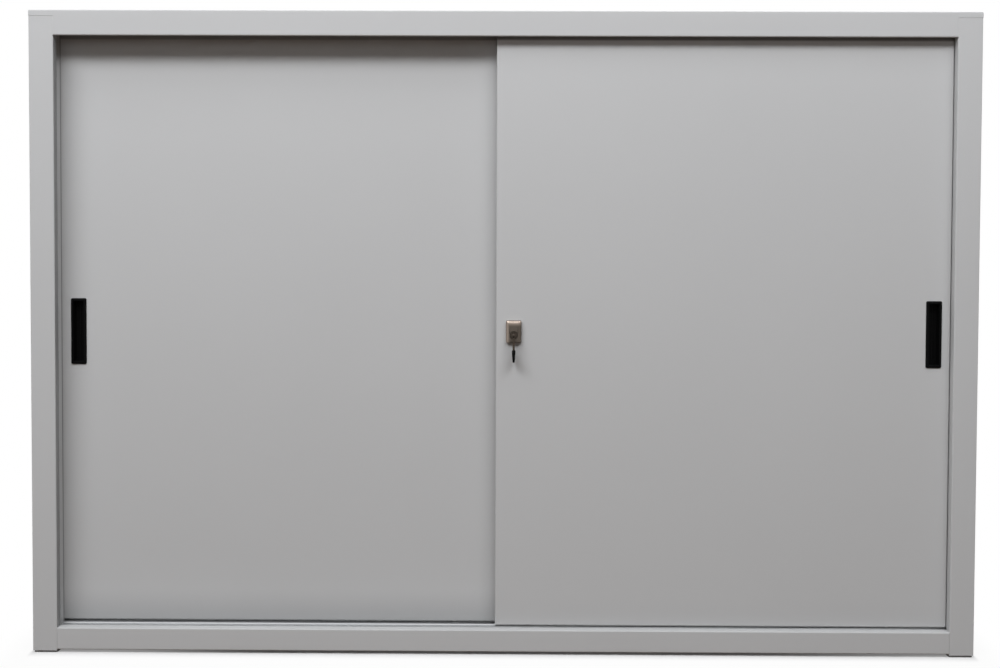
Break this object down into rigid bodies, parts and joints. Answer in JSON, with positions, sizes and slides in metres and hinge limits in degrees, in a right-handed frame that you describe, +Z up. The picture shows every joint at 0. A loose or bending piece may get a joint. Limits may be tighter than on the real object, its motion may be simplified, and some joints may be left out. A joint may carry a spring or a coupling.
{
  "type": "sliding door cabinet",
  "caption": "Low steel office cabinet with two sliding doors in tracks, shelves on clips, flush handles and a cam lock with a folding key.",
  "frame": {"origin": "on the floor, under the middle of the carcass", "axes": "+X to the right along the width seen from the front, +Y from the doors to the back, +Z up"},
  "size_m": [1.5, 0.4559, 1.02],
  "materials": {
    "grey_paint": "light grey powder coat, satin, very fine grain",
    "zinc_steel": "bright zinc plated steel",
    "track_aluminium": "extruded, satin",
    "nickel": "nickel plated, polished",
    "black_plastic": "black moulded plastic, fine matt grain",
    "grey_plastic": "dark grey moulded plastic, matt",
    "white_nylon": "natural white nylon"
  },
  "bodies": {
    "carcass": {"top_panel": "grey_paint", "left_side_panel": "grey_paint", "right_side_panel": "grey_paint", "bottom_panel": "grey_paint", "left_back_panel": "grey_paint", "right_back_panel": "grey_paint", "center_partition": "grey_paint", "top_track": "zinc_steel", "bottom_track": "track_aluminium", "left_front_foot": "grey_plastic", "right_front_foot": "grey_plastic", "left_rear_foot": "grey_plastic", "right_rear_foot": "grey_plastic", "left_front_upright": "grey_paint", "right_front_upright": "grey_paint", "left_rear_upright": "grey_paint", "right_rear_upright": "grey_paint", "left_lower_shelf": "grey_paint", "right_lower_shelf": "grey_paint", "left_lower_front_clip": "zinc_steel", "right_lower_front_clip": "zinc_steel", "center_lower_front_clip": "zinc_steel", "left_lower_rear_clip": "zinc_steel", "right_lower_rear_clip": "zinc_steel", "center_lower_rear_clip": "zinc_steel", "left_upper_shelf": "grey_paint", "right_upper_shelf": "grey_paint", "left_upper_front_clip": "zinc_steel", "right_upper_front_clip": "zinc_steel", "center_upper_front_clip": "zinc_steel", "left_upper_rear_clip": "zinc_steel", "right_upper_rear_clip": "zinc_steel", "center_upper_rear_clip": "zinc_steel"},
    "front_door": {"front_door_panel": "grey_paint", "front_door_stiffener": "grey_paint", "front_door_handle": "black_plastic", "front_door_left_bracket": "zinc_steel", "front_door_left_guide": "white_nylon", "front_door_right_bracket": "zinc_steel", "front_door_right_guide": "white_nylon", "lock_housing": "nickel", "lock_nut": "zinc_steel"},
    "front_door_left_wheel": {"front_door_left_wheel": "white_nylon"},
    "front_door_right_wheel": {"front_door_right_wheel": "white_nylon"},
    "lock_rotor": {"lock_plug": "nickel", "lock_cam": "zinc_steel", "key_blade": "nickel"},
    "key_bow": {"key_shank": "nickel", "key_grip": "black_plastic"},
    "rear_door": {"rear_door_panel": "grey_paint", "rear_door_stiffener": "grey_paint", "rear_door_handle": "black_plastic", "rear_door_left_bracket": "zinc_steel", "rear_door_left_guide": "white_nylon", "rear_door_right_bracket": "zinc_steel", "rear_door_right_guide": "white_nylon", "lock_keeper": "zinc_steel"},
    "rear_door_left_wheel": {"rear_door_left_wheel": "white_nylon"},
    "rear_door_right_wheel": {"rear_door_right_wheel": "white_nylon"}
  },
  "joints": [
    {"name": "front_door_slide", "type": "slide", "parent": "carcass", "child": "front_door", "axis": [-1, 0, 0], "range_m": [0, 0.696]},
    {"name": "rear_door_slide", "type": "slide", "parent": "carcass", "child": "rear_door", "axis": [-1, 0, 0], "range_m": [-0.6559, 0]},
    {"name": "lock_turn", "type": "hinge", "parent": "front_door", "child": "lock_rotor", "pos_m": [0.0164, -0.199, 0.51], "axis": [0, -1, 0], "range_deg": [0, 90]},
    {"name": "key_fold", "type": "hinge", "parent": "lock_rotor", "child": "key_bow", "pos_m": [0.0164, -0.2219, 0.51], "axis": [-1, 0, 0], "range_deg": [0, 90]},
    {"name": "front_door_left_wheel_roll", "type": "hinge", "parent": "front_door", "child": "front_door_left_wheel", "pos_m": [0.078, -0.199, 0.0546], "axis": [0, 1, 0], "continuous": true},
    {"name": "front_door_right_wheel_roll", "type": "hinge", "parent": "front_door", "child": "front_door_right_wheel", "pos_m": [0.618, -0.199, 0.0546], "axis": [0, 1, 0], "continuous": true},
    {"name": "rear_door_left_wheel_roll", "type": "hinge", "parent": "rear_door", "child": "rear_door_left_wheel", "pos_m": [-0.626, -0.175, 0.0546], "axis": [0, 1, 0], "continuous": true},
    {"name": "rear_door_right_wheel_roll", "type": "hinge", "parent": "rear_door", "child": "rear_door_right_wheel", "pos_m": [-0.078, -0.175, 0.0546], "axis": [0, 1, 0], "continuous": true}
  ],
  "couplings": [
    {"joint": "front_door_left_wheel_roll", "follows": "front_door_slide", "rad_per_m": -90.909},
    {"joint": "front_door_right_wheel_roll", "follows": "front_door_slide", "rad_per_m": -90.909},
    {"joint": "rear_door_left_wheel_roll", "follows": "rear_door_slide", "rad_per_m": -90.909},
    {"joint": "rear_door_right_wheel_roll", "follows": "rear_door_slide", "rad_per_m": -90.909}
  ]
}
